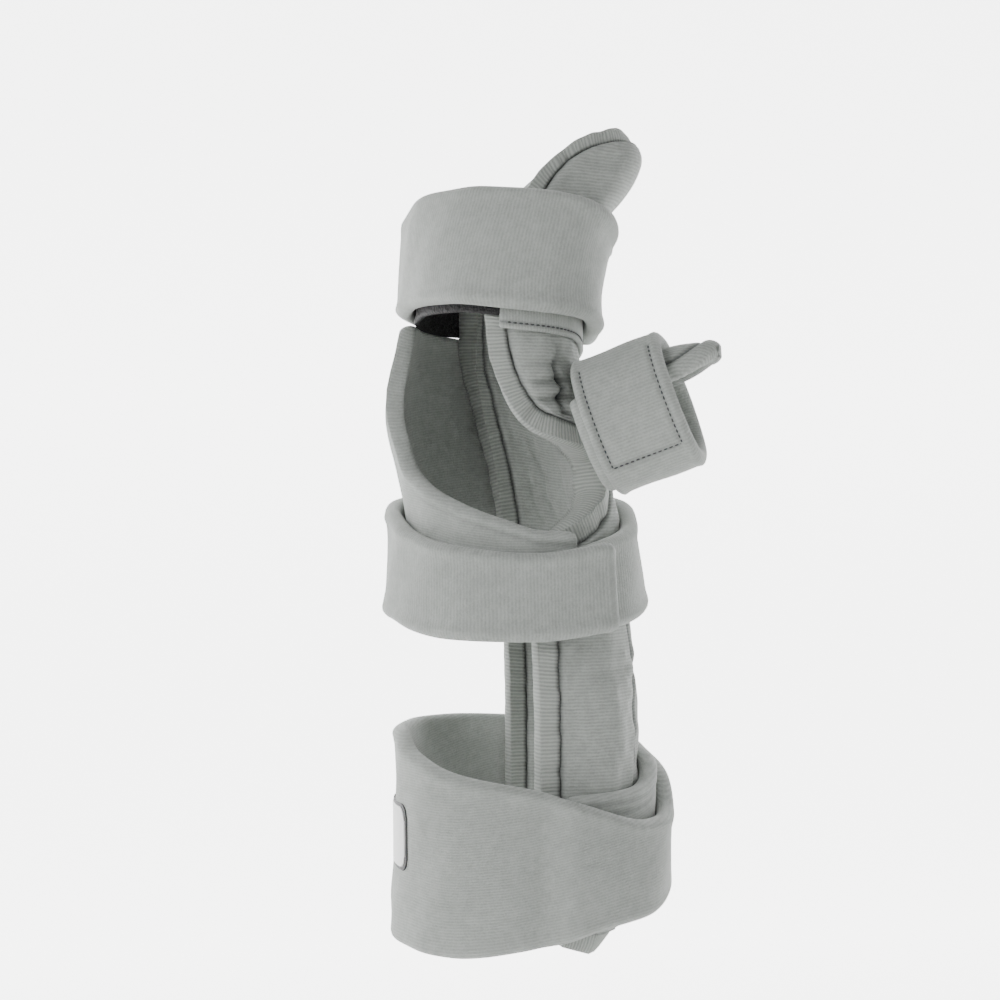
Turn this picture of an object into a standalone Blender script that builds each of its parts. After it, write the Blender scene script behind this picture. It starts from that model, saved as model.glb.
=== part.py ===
# Resting hand splint for a left hand, in metres, as it is worn: fingers up, palm side +X.
# The thumb side is -Y. The origin lies in the wrist opening, on the line of the forearm.

import math

import bmesh
import bpy
import numpy as np
from mathutils import Vector

# Driving sizes
FOREARM_REACH = 0.119     # from the wrist down to the pan's lower end
HAND_REACH = 0.162        # from the wrist up to the pan's tip
DEPTH = 0.078             # back of the forearm to the outside of the pan
HALF_WIDTH = 0.040        # middle of the forearm trough to its outside
PAD = 0.012               # padded board of the pan
BINDING = 0.0078          # knit binding, measured over the pan's outside
STRAP = 0.0055            # foam-laminated fleece strap
UNDERLAY = 0.0020         # plain fleece sewn under the finger strap, and the hook lining
FINGER_STRAP_WIDTH = 0.040
WRIST_STRAP_WIDTH = 0.032
FOREARM_STRAP_WIDTH = 0.060
THUMB_STRAP_WIDTH = 0.031
THUMB_PAD = 0.0075        # padded board of the thumb trough
THUMB_REACH = 0.033       # from the middle of the thumb strap to the tip of the trough
THUMB_ROOT = 0.024        # from the middle of the thumb strap back into the palm
THUMB_RISE = 0.0170       # thumb line to the outside of the trough
THUMB_HALF = 0.0125       # thumb line to the near and the far side of the trough
LABEL_WIDTH = 0.030
LABEL_HEIGHT = 0.023
LABEL_THICK = 0.0006
LABEL_RIM = 0.0012        # black rim round the white field
GAP = 0.0005              # air between pieces that touch
EDGE = 0.0014             # rounding of a strap's edges
PAD_EDGE = 0.0030         # rounding of the padded boards' edges

# Where the thumb strap sits, as shares of DEPTH, HALF_WIDTH and HAND_REACH
THUMB_PLACE = (0.555, -1.08, 0.388)
THUMB_LINE = (0.88, -0.36, 0.35)
SQUARENESS_FRONT = 2.5    # 2 is an ellipse
SQUARENESS_BACK = 2.1

# The wrapped body of the splint, row by row from the lower end to the tip. Height is a share of
# FOREARM_REACH below the wrist and of HAND_REACH above it. Back is where the straps cross the arm,
# middle the widest line and front the outside of the pan, as shares of DEPTH. Half is a share of
# HALF_WIDTH.
BODY = (
    # height, back, middle, front, half
    (-1.00, -0.34, 0.13, 0.43, 0.87),
    (-0.95, -0.355, 0.13, 0.53, 0.95),
    (-0.88, -0.36, 0.13, 0.59, 0.985),
    (-0.75, -0.34, 0.13, 0.635, 1.00),
    (-0.38, -0.345, 0.13, 0.64, 1.00),
    (0.00, -0.305, 0.115, 0.60, 0.975),
    (0.12, -0.29, 0.11, 0.57, 0.96),
    (0.28, -0.335, 0.09, 0.52, 1.00),
    (0.40, -0.378, 0.065, 0.45, 1.04),
    (0.53, -0.335, 0.04, 0.36, 1.07),
    (0.62, -0.29, 0.04, 0.355, 1.06),
    (0.71, -0.285, 0.07, 0.385, 1.03),
    (0.77, -0.28, 0.105, 0.425, 1.00),
    (0.81, -0.255, 0.13, 0.51, 0.96),
    (0.85, -0.22, 0.155, 0.585, 0.92),
    (0.89, -0.18, 0.18, 0.635, 0.88),
    (0.93, -0.14, 0.205, 0.66, 0.83),
    (0.97, -0.10, 0.225, 0.650, 0.78),
    (1.00, -0.07, 0.24, 0.615, 0.74),
)

# Both rims of the pan, as turns from its middle line, over the same heights.
RIM = (
    # height, thumb side, little-finger side
    (-1.00, 0.10, 0.10),
    (-0.985, 0.165, 0.165),
    (-0.95, 0.213, 0.213),
    (-0.90, 0.240, 0.240),
    (-0.83, 0.250, 0.250),
    (-0.40, 0.250, 0.250),
    (0.05, 0.250, 0.250),
    (0.10, 0.245, 0.252),
    (0.15, 0.215, 0.255),
    (0.20, 0.155, 0.258),
    (0.25, 0.120, 0.262),
    (0.29, 0.120, 0.265),
    (0.315, 0.155, 0.268),
    (0.332, 0.205, 0.270),
    (0.35, 0.238, 0.272),
    (0.39, 0.265, 0.276),
    (0.44, 0.281, 0.281),
    (0.50, 0.294, 0.290),
    (0.60, 0.303, 0.298),
    (0.70, 0.303, 0.300),
    (0.80, 0.286, 0.286),
    (0.87, 0.268, 0.268),
    (0.92, 0.242, 0.242),
    (0.955, 0.212, 0.212),
    (0.985, 0.152, 0.152),
    (1.00, 0.080, 0.080),
)

# Each strap's route round the body, by turns from the middle of the pan towards the thumb side.
# Middle and width give the band's two edges there; layers counts the straps that it lies on.
FINGER_ROUTE = (
    # turn, middle as a share of HAND_REACH, width as a share of FINGER_STRAP_WIDTH
    (0.00, 0.662, 0.97),
    (0.06, 0.670, 0.95),
    (0.15, 0.696, 0.97),
    (0.25, 0.706, 0.95),
    (0.34, 0.716, 0.92),
    (0.44, 0.714, 0.88),
    (0.50, 0.700, 0.82),
    (0.60, 0.705, 0.90),
    (0.75, 0.705, 0.95),
    (0.90, 0.675, 0.97),
    (1.00, 0.662, 0.97),
)
WRIST_ROUTE = (
    # turn, middle and width as shares of WRIST_STRAP_WIDTH, layers under it
    (0.17, 0.18, 0.92, 1),
    (0.25, 0.09, 0.90, 1),
    (0.36, 0.15, 1.00, 1),
    (0.46, 0.34, 1.12, 1),
    (0.50, 0.41, 1.18, 1),
    (0.60, 0.60, 1.10, 1),
    (0.75, 0.75, 1.00, 1),
    (0.86, 0.70, 1.00, 1),
    (0.91, 0.64, 1.00, 0),
    (1.00, 0.53, 1.00, 0),
    (1.10, 0.30, 0.96, 0),
    (1.185, 0.16, 0.90, 0),
)
FOREARM_ROUTE = (
    # turn, middle as a share of FOREARM_REACH, width as a share of FOREARM_STRAP_WIDTH, layers
    (0.208, -0.697, 0.70, 0),
    (0.10, -0.672, 0.66, 0),
    (0.00, -0.613, 0.71, 0),
    (-0.12, -0.605, 0.85, 0),
    (-0.25, -0.620, 1.00, 0),
    (-0.40, -0.650, 1.15, 0),
    (-0.50, -0.665, 1.18, 0),
    (-0.57, -0.690, 1.08, 0),
    (-0.66, -0.715, 0.97, 0),
    (-0.75, -0.715, 0.84, 0),
    (-0.79, -0.712, 0.72, 1),
    (-0.87, -0.722, 0.51, 1),
    (-0.94, -0.700, 0.47, 1),
    (-1.00, -0.645, 0.56, 1),
    (-1.06, -0.620, 0.66, 1),
)
HAND_ROUTE = (
    # turn, lower edge and upper edge as shares of HAND_REACH
    (0.205, -0.02, 0.150),
    (0.24, -0.03, 0.153),
    (0.28, -0.03, 0.172),
    (0.34, -0.02, 0.205),
    (0.40, 0.00, 0.245),
    (0.45, 0.01, 0.290),
    (0.475, 0.02, 0.345),
    (0.49, 0.03, 0.420),
    (0.505, 0.04, 0.500),
    (0.53, 0.05, 0.560),
    (0.58, 0.07, 0.572),
    (0.75, 0.10, 0.553),
    (0.84, 0.11, 0.515),
)

COLOURS = {
    "fleece": (0.40, 0.42, 0.40, 1.0),
    "knit": (0.33, 0.35, 0.34, 1.0),
    "black": (0.012, 0.013, 0.014, 1.0),
    "white": (0.80, 0.81, 0.80, 1.0),
}


def smooth(rows, at):
    """The row at a place in a table whose first column rises or falls, curved through its rows."""
    keys = [row[0] for row in rows]
    if keys[0] > keys[-1]:
        rows = rows[::-1]
        keys = keys[::-1]
    at = min(max(at, keys[0]), keys[-1])
    i = min(max(int(np.searchsorted(keys, at, side="right")) - 1, 0), len(rows) - 2)
    values = [np.array(rows[k][1:], float) for k in (max(i - 1, 0), i, i + 1, min(i + 2, len(rows) - 1))]
    places = [keys[k] for k in (max(i - 1, 0), i, i + 1, min(i + 2, len(rows) - 1))]
    span = places[2] - places[1]
    share = (at - places[1]) / span
    # Slopes are held between those of the two spans beside each row, so that no row overshoots.
    step = (values[2] - values[1]) / span
    before = step if i == 0 else (values[1] - values[0]) / (places[1] - places[0])
    after = step if i == len(rows) - 2 else (values[3] - values[2]) / (places[3] - places[2])
    start = np.where(before * step > 0, 2 * before * step / np.where(before + step == 0, 1, before + step), 0)
    end = np.where(after * step > 0, 2 * after * step / np.where(after + step == 0, 1, after + step), 0)
    s2 = share * share
    s3 = s2 * share
    return (
        (2 * s3 - 3 * s2 + 1) * values[1]
        + (s3 - 2 * s2 + share) * span * start
        + (3 * s2 - 2 * s3) * values[2]
        + (s3 - s2) * span * end
    )


class Form:
    """A body that the pieces lie on, addressed by turn, height and lift off its surface."""

    def __init__(self, origin, up, front, near, rows):
        self.origin = Vector(origin)
        self.up = Vector(up)
        self.front = Vector(front)
        self.near = Vector(near)
        self.rows = rows

    def quarter(self, height, front_side):
        """A quarter of the section as points evenly spaced in the table's angle, with their lengths."""
        back, middle, front, half = smooth(self.rows, height)
        reach = front - middle if front_side else middle - back
        power = 2.0 / (SQUARENESS_FRONT if front_side else SQUARENESS_BACK)
        angle = np.linspace(0.0, math.pi / 2, 41)
        across = half * np.sin(angle) ** power
        along = reach * np.abs(np.cos(angle)) ** power
        length = np.concatenate([[0.0], np.cumsum(np.hypot(np.diff(across), np.diff(along)))])
        return middle, along, across, length

    def girth(self, height):
        return 2 * (self.quarter(height, True)[3][-1] + self.quarter(height, False)[3][-1])

    def base(self, turn, height):
        turn = (turn + 0.5) % 1.0 - 0.5
        side = 1.0 if turn >= 0 else -1.0
        share = abs(turn) / 0.25
        front_side = share <= 1.0
        middle, along, across, length = self.quarter(height, front_side)
        at = length[-1] * (share if front_side else 2.0 - share)
        forward = float(np.interp(at, length, along)) * (1.0 if front_side else -1.0)
        sideways = float(np.interp(at, length, across)) * side
        return self.origin + self.up * height + self.front * (middle + forward) + self.near * sideways

    def point(self, turn, height, lift):
        step_turn = 0.012
        step_up = 0.0040
        around = self.base(turn + step_turn, height) - self.base(turn - step_turn, height)
        upward = self.base(turn, height + step_up) - self.base(turn, height - step_up)
        normal = upward.cross(around).normalized()
        if self.up.cross(self.near).dot(self.front) < 0:
            normal.negate()
        return self.base(turn, height) + normal * lift


def new_piece(name, rings, closed, colour):
    """One closed body through rings of equally many points, and its material."""
    mesh_data = bmesh.new()
    rows = [[mesh_data.verts.new(point) for point in ring] for ring in rings]
    count = len(rows[0])
    pairs = list(zip(rows, rows[1:] + rows[:1])) if closed else list(zip(rows, rows[1:]))
    for first, second in pairs:
        for k in range(count):
            after = (k + 1) % count
            mesh_data.faces.new((first[k], first[after], second[after], second[k]))
    if not closed:
        # The ends are closed by strips from one face of the wall to the other, which a bent wall needs.
        for row in (rows[0], rows[-1][::-1]):
            for k in range(count // 2 - 1):
                mesh_data.faces.new((row[k], row[k + 1], row[count - 2 - k], row[count - 1 - k]))
    bmesh.ops.recalc_face_normals(mesh_data, faces=mesh_data.faces)
    mesh = bpy.data.meshes.new(name)
    mesh_data.to_mesh(mesh)
    mesh_data.free()
    mesh.shade_smooth()
    mesh.set_sharp_from_angle(angle=math.radians(50))
    mesh.materials.append(cloth(colour))
    piece = bpy.data.objects.new(name, mesh)
    collection.objects.link(piece)
    return piece


def cloth(colour):
    """The plain cloth of one colour."""
    material = bpy.data.materials.get(colour)
    if material is None:
        material = bpy.data.materials.new(colour)
        material.use_nodes = True
        shader = material.node_tree.nodes["Principled BSDF"]
        shader.inputs["Base Color"].default_value = COLOURS[colour]
        shader.inputs["Roughness"].default_value = 0.95
    return material


def band_ring(form, turn, low, high, lift, thick, across, edge):
    """The outline of a flat band where it crosses one turn: outside up, then inside down."""
    edge = min(edge, thick * 0.45, (high - low) * 0.3)
    levels = [low + edge + (high - low - 2 * edge) * k / across for k in range(across + 1)]
    outside = [(level, lift + thick) for level in levels]
    inside = [(level, lift) for level in reversed(levels)]
    top = [(high, lift + thick - edge), (high, lift + edge)]
    bottom = [(low, lift + edge), (low, lift + thick - edge)]
    return [form.point(turn, level, up) for level, up in outside + top + inside + bottom]


def band(name, form, route, colour, steps, across=4, thick=STRAP, edge=EDGE, closed=False):
    """A strap along a route: a function from a share of the way to turn, edges and lift."""
    rings = []
    count = steps if closed else steps + 1
    for k in range(count):
        turn, low, high, lift = route(k / steps)
        rings.append(band_ring(form, turn, low, high, lift, thick, across, edge))
    if not closed:
        # Each free end is rounded by one smaller ring beyond it.
        for end, inward, share in ((0, 1, 0.0), (-1, -2, 1.0)):
            away = (sum(rings[end], Vector()) - sum(rings[inward], Vector())).normalized()
            turn, low, high, lift = route(share)
            small = band_ring(form, turn, low + edge, high - edge, lift + edge, thick - 2 * edge, across, edge)
            small = [point + away * edge for point in small]
            rings = [small] + rings if end == 0 else rings + [small]
    return new_piece(name, rings, closed, colour)


def height_of(share):
    """A height on the body from its share of the reach above or below the wrist."""
    return share * (HAND_REACH if share > 0 else FOREARM_REACH)


def rim_loop(inset):
    """The pan's outline moved inwards by an inset, as turns and heights: up the thumb side, over
    the tip, down the little-finger side and along the lower end."""
    shares = [-1.0, -0.985, -0.97, -0.95, -0.925]
    shares += [-0.86 + 0.08 * k for k in range(11)]
    shares += [0.02, 0.06, 0.10]
    shares += [0.13 + 0.02 * k for k in range(10)]
    shares += [0.325, 0.34, 0.355, 0.375, 0.395]
    shares += [0.43 + 0.06 * k for k in range(9)]
    shares += [0.935, 0.955, 0.97, 0.985, 1.0]
    thumb_side = [(smooth(RIM, share)[0], height_of(share)) for share in shares]
    little_side = [(-smooth(RIM, share)[1], height_of(share)) for share in reversed(shares)]
    tip = [(thumb_side[-1][0] * share, HAND_REACH) for share in (0.5, 0.0, -0.5)]
    end = [(thumb_side[0][0] * share, -FOREARM_REACH) for share in (-0.67, -0.33, 0.0, 0.33, 0.67)]
    outline = thumb_side + tip + little_side + end
    moved = []
    for k, (turn, height) in enumerate(outline):
        before = outline[k - 1]
        after = outline[(k + 1) % len(outline)]
        girth = body.girth(height)
        arriving = Vector(((turn - before[0]) * girth, height - before[1])).normalized()
        leaving = Vector(((after[0] - turn) * girth, after[1] - height)).normalized()
        along = (arriving + leaving).normalized()
        moved.append((turn - along.y * inset / girth, height + along.x * inset))
    count = len(thumb_side)
    return moved, moved[:count], moved[count + len(tip):2 * count + len(tip)]


def pan():
    """The padded board: a trough for the forearm, the palm and the fingers."""
    outline, thumb_side, little_side = rim_loop(BINDING + 3.5 * GAP)
    across = 11
    rings = []
    little_side = sorted((height, -turn) for turn, height in little_side)
    highest = -1.0
    for near, height in thumb_side:
        # A row that the inset folded back over the one before it is left out.
        if height < highest + BINDING / 10:
            continue
        highest = height
        far = float(np.interp(height, [row[0] for row in little_side], [row[1] for row in little_side]))
        turns = [-far + (near + far) * j / across for j in range(across + 1)]
        ring = [body.point(turn, height, 0.0) for turn in turns]
        ring += [body.point(turn, height, -PAD) for turn in reversed(turns)]
        rings.append(ring)
    return new_piece("pan", rings, False, "fleece")


def pan_binding():
    """The knit binding sewn round the pan's whole rim, as thick as the board."""
    outer, _, _ = rim_loop(0.0)
    inner, _, _ = rim_loop(BINDING)
    rings = []
    for (turn_out, height_out), (turn_in, height_in) in zip(outer, inner):
        ring = []
        for share, lift in (
            (1.0, 0.0),
            (0.35, 0.0),
            (0.0, -PAD_EDGE),
            (0.0, -PAD + PAD_EDGE),
            (0.35, -PAD),
            (1.0, -PAD),
        ):
            turn = turn_out + (turn_in - turn_out) * share
            height = height_out + (height_in - height_out) * share
            ring.append(body.point(turn, height, lift))
        rings.append(ring)
    return new_piece("pan_binding", rings, True, "knit")


def finger_strap():
    """The band over the fingers, and under it the sewn anchor on the pan and the hook lining."""
    # The two underlays meet at start, and their facets lie under the strap's own.
    steps = 36
    start = 10 / steps

    def edges(turn):
        middle, width = smooth(FINGER_ROUTE, turn % 1.0)
        return middle * HAND_REACH, width * FINGER_STRAP_WIDTH / 2

    def outer(share):
        middle, half = edges(share)
        return share, middle - half, middle + half, UNDERLAY + 2.7 * GAP

    def anchor(share):
        turn = start * (2 * share - 1) * 0.974
        middle, half = edges(turn)
        return turn, middle - half - FINGER_STRAP_WIDTH * 0.11, middle + half * 0.5, GAP

    def lining(share):
        turn = start + (1 - 2 * start) * share
        middle, half = edges(turn)
        return turn, middle - half - FINGER_STRAP_WIDTH * 0.05, middle + half * 0.5, GAP

    band("finger_strap", body, outer, "fleece", steps, closed=True)
    band("finger_strap_anchor", body, anchor, "fleece", 20, thick=UNDERLAY, edge=UNDERLAY * 0.3)
    band("finger_strap_lining", body, lining, "black", 16, thick=UNDERLAY, edge=UNDERLAY * 0.3)


def wrist_strap():
    """The band round the wrist, whose free end lies over its own start at the palm side."""
    first = WRIST_ROUTE[0][0]
    last = WRIST_ROUTE[-1][0]

    def route(share):
        turn = first + (last - first) * share
        middle, width, layers = smooth(WRIST_ROUTE, turn)
        half = width * WRIST_STRAP_WIDTH / 2
        middle *= WRIST_STRAP_WIDTH
        return turn, middle - half, middle + half, GAP + layers * (STRAP + 1.6 * GAP)

    band("wrist_strap", body, route, "fleece", 44)


def forearm_strap():
    """The wide band sewn beside the binding and wound once round the forearm over its own start."""
    first = FOREARM_ROUTE[0][0]
    last = FOREARM_ROUTE[-1][0]

    def route(share):
        turn = first + (last - first) * share
        middle, width, layers = smooth(FOREARM_ROUTE, turn)
        half = width * FOREARM_STRAP_WIDTH / 2
        middle *= FOREARM_REACH
        return turn, middle - half, middle + half, GAP + layers * (STRAP + 1.6 * GAP)

    band("forearm_strap", body, route, "fleece", 52)


def hand_strap():
    """The wide band from the little-finger side, slanting over the back of the hand to the wrist."""
    first = HAND_ROUTE[0][0]
    last = HAND_ROUTE[-1][0]

    def route(share):
        turn = first + (last - first) * share
        low, high = smooth(HAND_ROUTE, turn)
        return turn, low * HAND_REACH, high * HAND_REACH, GAP

    band("hand_strap", body, route, "fleece", 30)


def label():
    """The sewn label at the back of the forearm strap: a black plate with a white field on it."""
    middle, width, layers = smooth(FOREARM_ROUTE, -0.5)
    height = middle * FOREARM_REACH
    girth = body.girth(height)
    corner = LABEL_HEIGHT * 0.18

    def plate(width, tall, lift):
        def route(share):
            along = (share - 0.5) * width
            from_end = width / 2 - abs(along)
            cut = corner - math.sqrt(max(corner ** 2 - max(corner - from_end, 0.0) ** 2, 0.0))
            turn = 0.5 + along / girth
            return turn, height - tall / 2 + cut, height + tall / 2 - cut, lift
        return route

    low = GAP * 2 + STRAP
    rim = 2 * LABEL_RIM
    border = plate(LABEL_WIDTH, LABEL_HEIGHT, low)
    field = plate(LABEL_WIDTH - rim, LABEL_HEIGHT - rim, low + LABEL_THICK + GAP)
    fine = LABEL_THICK * 0.3
    band("label_border", body, border, "black", 10, across=2, thick=LABEL_THICK, edge=fine)
    band("label", body, field, "white", 10, across=2, thick=LABEL_THICK, edge=fine)


def hull(name, form, low, high, steps, sides, lift):
    """The whole body between two heights, as a cutter for what butts against it."""
    rings = []
    for k in range(steps + 1):
        height = low + (high - low) * k / steps
        rings.append([form.point(j / sides, height, lift) for j in range(sides)])
    cutter = new_piece(name, rings, False, "fleece")
    collection.objects.unlink(cutter)
    cutters.objects.link(cutter)
    cutter.hide_render = True
    cutter.display_type = "WIRE"
    return cutter


def thumb_trough():
    """The padded tongue along the thumb, butted against the pan, open to the back of the thumb."""
    spread = 0.19
    steps = 14
    across = 8
    rings = []
    for k in range(steps + 1):
        at = -THUMB_ROOT + (THUMB_REACH + THUMB_ROOT) * k / steps
        # The tip is rounded: its last sixth draws in along a quarter circle.
        tip = max(0.0, (at - THUMB_REACH * 0.72) / (THUMB_REACH * 0.28))
        reach = spread * (0.30 + 0.70 * math.sqrt(max(1.0 - tip * tip, 0.0)))
        turns = [-reach + 2 * reach * j / across for j in range(across + 1)]
        ring = [thumb.point(turn, at, 0.0) for turn in turns]
        ring += [thumb.point(turn, at, -THUMB_PAD) for turn in reversed(turns)]
        rings.append(ring)
    trough = new_piece("thumb_trough", rings, False, "fleece")
    cut = trough.modifiers.new("butted on the pan", "BOOLEAN")
    cut.object = hull("pan_outside", body, HAND_REACH * 0.15, HAND_REACH * 0.75, 14, 48, GAP)
    cut.operation = "DIFFERENCE"
    cut.solver = "EXACT"


def thumb_strap():
    """The band round the thumb and its trough, with a second layer that peeps out at its root side."""
    def outer(share):
        half = THUMB_STRAP_WIDTH / 2
        return share, -half, half, GAP

    band("thumb_strap", thumb, outer, "fleece", 28, closed=True)


for old in list(bpy.data.objects):
    bpy.data.objects.remove(old)

collection = bpy.data.collections.new("resting_hand_splint")
bpy.context.scene.collection.children.link(collection)
cutters = bpy.data.collections.new("cutters")
bpy.context.scene.collection.children.link(cutters)

body = Form(
    origin=(0.0, 0.0, 0.0),
    up=(0.0, 0.0, 1.0),
    front=(1.0, 0.0, 0.0),
    near=(0.0, -1.0, 0.0),
    rows=[
        (height_of(row[0]), row[1] * DEPTH, row[2] * DEPTH, row[3] * DEPTH, row[4] * HALF_WIDTH)
        for row in BODY
    ],
)

thumb_up = Vector(THUMB_LINE).normalized()
thumb_front = (Vector((0.0, 0.0, 1.0)) - thumb_up * thumb_up.z).normalized()
thumb = Form(
    origin=(THUMB_PLACE[0] * DEPTH, THUMB_PLACE[1] * HALF_WIDTH, THUMB_PLACE[2] * HAND_REACH),
    up=thumb_up,
    front=thumb_front,
    near=thumb_up.cross(thumb_front),
    # height, back, middle, front, half
    rows=[
        (-THUMB_ROOT, -THUMB_RISE, 0.0, THUMB_RISE, THUMB_HALF),
        (0.0, -THUMB_RISE, 0.0, THUMB_RISE, THUMB_HALF),
        (THUMB_STRAP_WIDTH / 2, -THUMB_RISE, 0.0, THUMB_RISE * 0.98, THUMB_HALF),
        (THUMB_REACH, -THUMB_RISE * 0.8, 0.0, THUMB_RISE * 0.75, THUMB_HALF * 0.8),
    ],
)

pan()
pan_binding()
finger_strap()
hand_strap()
wrist_strap()
forearm_strap()
label()
thumb_trough()
thumb_strap()
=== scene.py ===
import math

import bmesh
import bpy
import numpy as np
from mathutils import Matrix, Vector


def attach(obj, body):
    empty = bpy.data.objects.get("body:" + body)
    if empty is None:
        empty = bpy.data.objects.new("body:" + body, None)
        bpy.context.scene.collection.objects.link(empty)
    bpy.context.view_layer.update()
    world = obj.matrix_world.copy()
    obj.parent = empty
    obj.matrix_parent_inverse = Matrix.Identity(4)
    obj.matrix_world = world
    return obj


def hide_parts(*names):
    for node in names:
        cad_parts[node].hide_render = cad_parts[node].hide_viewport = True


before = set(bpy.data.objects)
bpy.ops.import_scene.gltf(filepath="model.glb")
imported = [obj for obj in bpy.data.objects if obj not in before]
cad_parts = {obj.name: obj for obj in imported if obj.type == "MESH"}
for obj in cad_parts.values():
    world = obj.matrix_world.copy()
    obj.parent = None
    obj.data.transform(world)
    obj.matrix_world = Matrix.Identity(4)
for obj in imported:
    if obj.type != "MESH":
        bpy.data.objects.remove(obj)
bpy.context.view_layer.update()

bpy.ops.object.select_all(action="DESELECT")

# Camera, floor and light: the splint hangs in front of a pale studio sweep, seen from the thumb
# side and a little from the back of the hand, with a soft key from the back of the hand.
VIEW_TURN = math.radians(-8.0)
VIEW_DISTANCE = 0.700
VIEW_SHIFT_RIGHT = 0.00345
VIEW_SHIFT_UP = 0.0345
LENS = 73.1
FLOOR_DROP = 0.45
SWEEP_BACK = 1.6

view_back = Vector((math.sin(VIEW_TURN), -math.cos(VIEW_TURN), 0.0))
view_right = Vector((math.cos(VIEW_TURN), math.sin(VIEW_TURN), 0.0))
view_up = view_back.cross(view_right)
camera_data = bpy.data.cameras.new("camera")
camera_data.lens = LENS
camera_data.clip_start = 0.01
camera = bpy.data.objects.new("camera", camera_data)
bpy.context.scene.collection.objects.link(camera)
camera_place = view_back * VIEW_DISTANCE + view_right * VIEW_SHIFT_RIGHT + view_up * VIEW_SHIFT_UP
camera_turn = Matrix((view_right, view_up, view_back)).transposed().to_4x4()
camera.matrix_world = Matrix.Translation(camera_place) @ camera_turn
bpy.context.scene.camera = camera


def node(tree, kind, inputs=None, **settings):
    """Adds one node with its settings, its values and its links."""
    made = tree.nodes.new(kind)
    for key, value in settings.items():
        setattr(made, key, value)
    for key, value in (inputs or {}).items():
        if isinstance(value, bpy.types.NodeSocket):
            tree.links.new(value, made.inputs[key])
        else:
            made.inputs[key].default_value = value
    return made


def linear(code):
    """An sRGB hex colour as linear red, green, blue and alpha."""
    parts = [int(code[k:k + 2], 16) / 255 for k in (1, 3, 5)]
    return tuple(c / 12.92 if c <= 0.04045 else ((c + 0.055) / 1.055) ** 2.4 for c in parts) + (1.0,)


studio = bpy.data.materials.new("matt studio paper")
studio.use_nodes = True
studio.node_tree.nodes["Principled BSDF"].inputs["Base Color"].default_value = linear("#F6F6F5")
studio.node_tree.nodes["Principled BSDF"].inputs["Roughness"].default_value = 1.0
# The upright part of the paper is lit from behind as well, so that it stays white.
paper_place = node(studio.node_tree, "ShaderNodeTexCoord")
paper_parts = node(studio.node_tree, "ShaderNodeSeparateXYZ", {"Vector": paper_place.outputs["Object"]})
paper_glow = node(
    studio.node_tree, "ShaderNodeMapRange",
    {"Value": paper_parts.outputs["Y"], "From Min": 0.35, "From Max": 1.25, "To Min": 0.0, "To Max": 4.5},
)
studio_shader = studio.node_tree.nodes["Principled BSDF"]
studio_shader.inputs["Emission Color"].default_value = linear("#FFFFFF")
studio.node_tree.links.new(paper_glow.outputs["Result"], studio_shader.inputs["Emission Strength"])

floor_mesh = bmesh.new()
sweep = [(-3.0, -FLOOR_DROP), (SWEEP_BACK - 0.6, -FLOOR_DROP)]
sweep += [
    (SWEEP_BACK - 0.6 + 0.6 * math.sin(a), -FLOOR_DROP + 0.6 - 0.6 * math.cos(a))
    for a in (math.pi / 2 * k / 12 for k in range(1, 13))
]
sweep.append((SWEEP_BACK, 2.6))
columns = [
    [floor_mesh.verts.new((x, y, z)) for y, z in sweep]
    for x in (-3.0, 3.0)
]
for k in range(len(sweep) - 1):
    floor_mesh.faces.new((columns[0][k], columns[1][k], columns[1][k + 1], columns[0][k + 1]))
floor_data = bpy.data.meshes.new("floor")
floor_mesh.to_mesh(floor_data)
floor_mesh.free()
floor_data.shade_smooth()
floor_data.materials.append(studio)
floor = bpy.data.objects.new("floor", floor_data)
bpy.context.scene.collection.objects.link(floor)

for name, place, size, watts, target in (
    ("key", (-1.15, -0.75, 0.55), 0.80, 13.0, (0.0, 0.0, 0.02)),
    ("fill", (1.20, -0.55, 0.30), 0.90, 5.0, (0.0, 0.0, 0.0)),
    ("front", (-0.10, -1.60, 0.90), 0.90, 1.5, (0.0, 0.0, 0.0)),
):
    light_data = bpy.data.lights.new(name, "AREA")
    light_data.size = size
    light_data.energy = watts
    light = bpy.data.objects.new(name, light_data)
    bpy.context.scene.collection.objects.link(light)
    light.location = place
    light.rotation_euler = (Vector(target) - Vector(place)).to_track_quat("-Z", "Y").to_euler()

world = bpy.data.worlds.new("soft studio")
world.use_nodes = True
world.node_tree.nodes["Background"].inputs["Color"].default_value = linear("#F7F8F8")
world.node_tree.nodes["Background"].inputs["Strength"].default_value = 0.26
bpy.context.scene.world = world

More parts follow.
